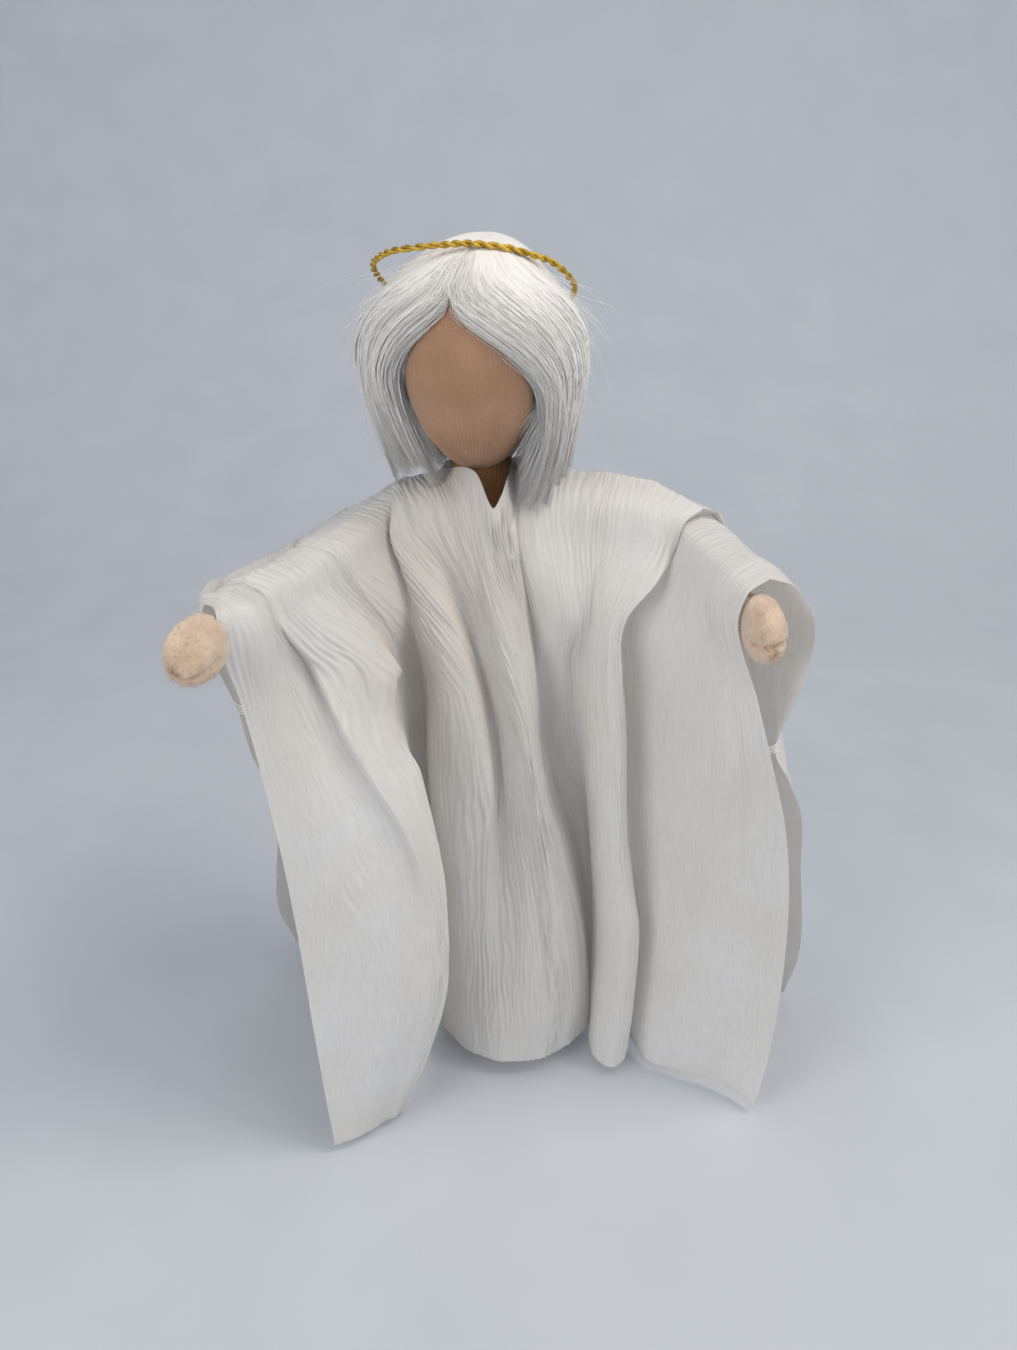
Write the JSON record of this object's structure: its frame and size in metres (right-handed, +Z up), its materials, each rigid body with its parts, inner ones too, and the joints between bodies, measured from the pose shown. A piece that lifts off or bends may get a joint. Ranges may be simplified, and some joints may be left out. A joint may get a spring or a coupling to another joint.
{
  "type": "nativity angel figure",
  "caption": "Standing bendable cloth angel figure with a blank knit head, fibre wig, twisted wire halo, mitten hands and a floor-length draped silk robe over a padded wire skeleton.",
  "frame": {"origin": "centre of the bounding box at the level of the soles", "axes": "+Z up, the figure faces -Y, its own left hand is towards +X"},
  "size_m": [0.19, 0.1274, 0.2718],
  "materials": {
    "skin_knit": "matt fine knit",
    "neck_knit": "matt fine knit",
    "hand_felt": "brushed felt",
    "sisal_padding": "coarse wound fibre",
    "head_foam": "light pressed filling",
    "steel_wire": "drawn wire",
    "foot_lead": "dull cast lead",
    "sole_felt": "felt",
    "wig_fibre": "fine straight fibre",
    "gold_wire": "bright twisted wire",
    "crinkle_silk": "sheer crinkled silk",
    "white_thread": "sewing thread"
  },
  "bodies": {
    "torso": {"torso_padding": "sisal_padding", "spine_wire": "steel_wire", "shoulder_wire": "steel_wire", "hip_wire": "steel_wire", "robe_front": "crinkle_silk", "robe_back": "crinkle_silk", "neck_binding": "crinkle_silk"},
    "neck": {"neck": "neck_knit", "neck_wire": "steel_wire"},
    "head": {"head_core": "head_foam", "head_skin": "skin_knit", "hair": "wig_fibre", "halo_wire_a": "gold_wire", "halo_wire_b": "gold_wire"},
    "upper_arm_left": {"upper_arm_left_padding": "sisal_padding", "upper_arm_left_wire": "steel_wire", "sleeve_left": "crinkle_silk", "sleeve_tack_left": "white_thread"},
    "forearm_left": {"forearm_left_padding": "sisal_padding", "forearm_left_wire": "steel_wire"},
    "hand_left": {"hand_left": "hand_felt", "hand_left_wire": "steel_wire"},
    "upper_arm_right": {"upper_arm_right_padding": "sisal_padding", "upper_arm_right_wire": "steel_wire", "sleeve_right": "crinkle_silk", "sleeve_tack_right": "white_thread"},
    "forearm_right": {"forearm_right_padding": "sisal_padding", "forearm_right_wire": "steel_wire"},
    "hand_right": {"hand_right": "hand_felt", "hand_right_wire": "steel_wire"},
    "thigh_left": {"thigh_left_padding": "sisal_padding", "thigh_left_wire": "steel_wire"},
    "shin_left": {"shin_left_padding": "sisal_padding", "shin_left_wire": "steel_wire"},
    "foot_left": {"foot_weight_left": "foot_lead", "sole_left": "sole_felt"},
    "thigh_right": {"thigh_right_padding": "sisal_padding", "thigh_right_wire": "steel_wire"},
    "shin_right": {"shin_right_padding": "sisal_padding", "shin_right_wire": "steel_wire"},
    "foot_right": {"foot_weight_right": "foot_lead", "sole_right": "sole_felt"}
  },
  "joints": [
    {"name": "head_nod", "type": "hinge", "parent": "torso", "child": "neck", "pos_m": [-0.0181, 0.0204, 0.199], "axis": [1, 0, 0], "range_deg": [-10, 14]},
    {"name": "head_turn", "type": "hinge", "parent": "neck", "child": "head", "pos_m": [-0.0181, 0.0204, 0.209], "axis": [0, 0, 1], "range_deg": [-35, 35]},
    {"name": "shoulder_left_swing", "type": "hinge", "parent": "torso", "child": "upper_arm_left", "pos_m": [0.0099, 0.0204, 0.192], "axis": [0, 0, -1], "range_deg": [-18, 20], "deforming": ["sleeve_left", "sleeve_tack_left", "robe_front", "robe_back"]},
    {"name": "elbow_left_swing", "type": "hinge", "parent": "upper_arm_left", "child": "forearm_left", "pos_m": [0.04431, 0.00988, 0.19074], "axis": [0, 0, -1], "range_deg": [-12, 22], "deforming": ["sleeve_left", "sleeve_tack_left", "robe_front", "robe_back"]},
    {"name": "wrist_left_lift", "type": "hinge", "parent": "forearm_left", "child": "hand_left", "pos_m": [0.05702, -0.02505, 0.18284], "axis": [-0.9848, -0.1736, 0], "range_deg": [-30, 30], "deforming": ["sleeve_left", "sleeve_tack_left"]},
    {"name": "shoulder_right_swing", "type": "hinge", "parent": "torso", "child": "upper_arm_right", "pos_m": [-0.0461, 0.0204, 0.192], "axis": [0, 0, 1], "range_deg": [-18, 20], "deforming": ["sleeve_right", "sleeve_tack_right", "robe_front", "robe_back"]},
    {"name": "elbow_right_swing", "type": "hinge", "parent": "upper_arm_right", "child": "forearm_right", "pos_m": [-0.06365, -0.01063, 0.18699], "axis": [0, 0, 1], "range_deg": [-12, 22], "deforming": ["sleeve_right", "sleeve_tack_right", "robe_front", "robe_back"]},
    {"name": "wrist_right_lift", "type": "hinge", "parent": "forearm_right", "child": "hand_right", "pos_m": [-0.0803, -0.04475, 0.18533], "axis": [-0.9205, 0.3907, 0], "range_deg": [-30, 30], "deforming": ["sleeve_right", "sleeve_tack_right"]},
    {"name": "hip_left_bend", "type": "hinge", "parent": "torso", "child": "thigh_left", "pos_m": [-0.0071, 0.0204, 0.096], "axis": [1, 0, 0], "range_deg": [-4, 8], "deforming": ["robe_front", "robe_back", "sleeve_left", "sleeve_right"]},
    {"name": "knee_left_bend", "type": "hinge", "parent": "thigh_left", "child": "shin_left", "pos_m": [-0.0071, 0.0204, 0.054], "axis": [1, 0, 0], "range_deg": [0, 10], "deforming": ["robe_front", "robe_back", "sleeve_left", "sleeve_right"]},
    {"name": "ankle_left_bend", "type": "hinge", "parent": "shin_left", "child": "foot_left", "pos_m": [-0.0071, 0.0204, 0.015], "axis": [1, 0, 0], "range_deg": [-8, 8], "deforming": ["robe_front", "robe_back", "sleeve_left", "sleeve_right"]},
    {"name": "hip_right_bend", "type": "hinge", "parent": "torso", "child": "thigh_right", "pos_m": [-0.0291, 0.0204, 0.096], "axis": [1, 0, 0], "range_deg": [-4, 8], "deforming": ["robe_front", "robe_back", "sleeve_left", "sleeve_right"]},
    {"name": "knee_right_bend", "type": "hinge", "parent": "thigh_right", "child": "shin_right", "pos_m": [-0.0291, 0.0204, 0.054], "axis": [1, 0, 0], "range_deg": [0, 10], "deforming": ["robe_front", "robe_back", "sleeve_left", "sleeve_right"]},
    {"name": "ankle_right_bend", "type": "hinge", "parent": "shin_right", "child": "foot_right", "pos_m": [-0.0291, 0.0204, 0.015], "axis": [1, 0, 0], "range_deg": [-8, 8], "deforming": ["robe_front", "robe_back", "sleeve_left", "sleeve_right"]}
  ]
}
